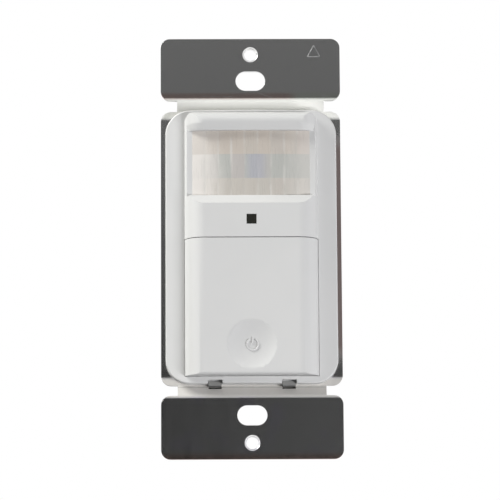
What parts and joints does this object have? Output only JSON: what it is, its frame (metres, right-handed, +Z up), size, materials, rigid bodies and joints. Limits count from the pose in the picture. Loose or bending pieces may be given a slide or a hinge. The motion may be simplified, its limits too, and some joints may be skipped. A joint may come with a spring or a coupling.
{
  "type": "motion sensor light switch",
  "caption": "Wall-mounted motion sensor light switch: steel strap, white moulded front with a milky lens window, hinged push button, and a rear housing with side screw terminals.",
  "frame": {"origin": "Midway between the wall-screw slots and between the plate-screw holes, on the plane of the ears' rear faces, which rest on the wall.", "axes": "+X to the right seen from the front, +Y into the wall, +Z up."},
  "size_m": [0.0446, 0.0354, 0.1048],
  "materials": {
    "plated_steel": "bright plated, nearly mirror-like",
    "white_front": "smooth, satin to gloss",
    "milky_lens": "milky, slightly translucent, fine moulded rows",
    "smoked_window": "smoked, polished",
    "white_chassis": "moulded",
    "black_moulding": "moulded",
    "sensor_can": "drawn, satin",
    "dark_filter": "polished, dark",
    "board_laminate": "solder mask",
    "led_body": "clear-coloured body",
    "photocell_body": "coated",
    "plunger_plastic": "moulded",
    "trimmer_blue": "moulded",
    "dial_white": "moulded",
    "housing_plastic": "moulded, fine texture",
    "screw_steel": "zinc plated",
    "terminal_brass": "rolled",
    "clamp_steel": "zinc plated",
    "ground_green": "green lacquer",
    "relay_case": "moulded",
    "film_case": "moulded",
    "capacitor_sleeve": "shrink sleeve",
    "varistor_coat": "dipped coat",
    "resistor_body": "lacquered",
    "header_black": "moulded"
  },
  "bodies": {
    "switch_body": {"mounting_strap": "plated_steel", "front_frame": "white_front", "motion_lens": "milky_lens", "light_window": "smoked_window", "front_chassis": "white_chassis", "sensor_shroud": "black_moulding", "pir_can": "sensor_can", "pir_filter": "dark_filter", "sensor_board": "board_laminate", "status_led": "led_body", "photocell": "photocell_body", "tact_switch_body": "black_moulding", "trimmer_bodies": "trimmer_blue", "rear_housing": "housing_plastic", "assembly_screws": "screw_steel", "line_terminal": "terminal_brass", "load_terminal": "terminal_brass", "neutral_terminal": "terminal_brass", "terminal_screws": "screw_steel", "wire_clamps": "clamp_steel", "ground_screw": "ground_green", "main_board": "board_laminate", "relay": "relay_case", "dropper_capacitor": "film_case", "smoothing_capacitor": "capacitor_sleeve", "surge_varistor": "varistor_coat", "fuse_resistor": "resistor_body", "bridge_rectifier": "black_moulding", "board_header": "header_black"},
    "button": {"push_button": "white_front"},
    "plunger": {"tact_switch_plunger": "plunger_plastic"},
    "time_rotor": {"time_dial": "dial_white"},
    "sensitivity_rotor": {"sensitivity_dial": "dial_white"},
    "light_level_rotor": {"light_level_dial": "dial_white"}
  },
  "joints": [
    {"name": "button_press", "type": "hinge", "parent": "switch_body", "child": "button", "pos_m": [0, -0.0026, -0.0022], "axis": [1, 0, 0], "range_deg": [0, 1.25], "stiffness_Nm_per_rad": 2.5, "springref_deg": -0.57},
    {"name": "plunger_travel", "type": "slide", "parent": "switch_body", "child": "plunger", "axis": [0, 1, 0], "range_m": [0, 0.0005]},
    {"name": "time_turn", "type": "hinge", "parent": "switch_body", "child": "time_rotor", "pos_m": [-0.008, 0.002, -0.0094], "axis": [0, -1, 0], "range_deg": [-110, 110]},
    {"name": "sensitivity_turn", "type": "hinge", "parent": "switch_body", "child": "sensitivity_rotor", "pos_m": [0, 0.002, -0.0094], "axis": [0, -1, 0], "range_deg": [-110, 110]},
    {"name": "light_level_turn", "type": "hinge", "parent": "switch_body", "child": "light_level_rotor", "pos_m": [0.008, 0.002, -0.0094], "axis": [0, -1, 0], "range_deg": [-110, 110]}
  ],
  "couplings": [
    {"joint": "plunger_travel", "follows": "button_press", "m_per_rad": 0.0226}
  ]
}
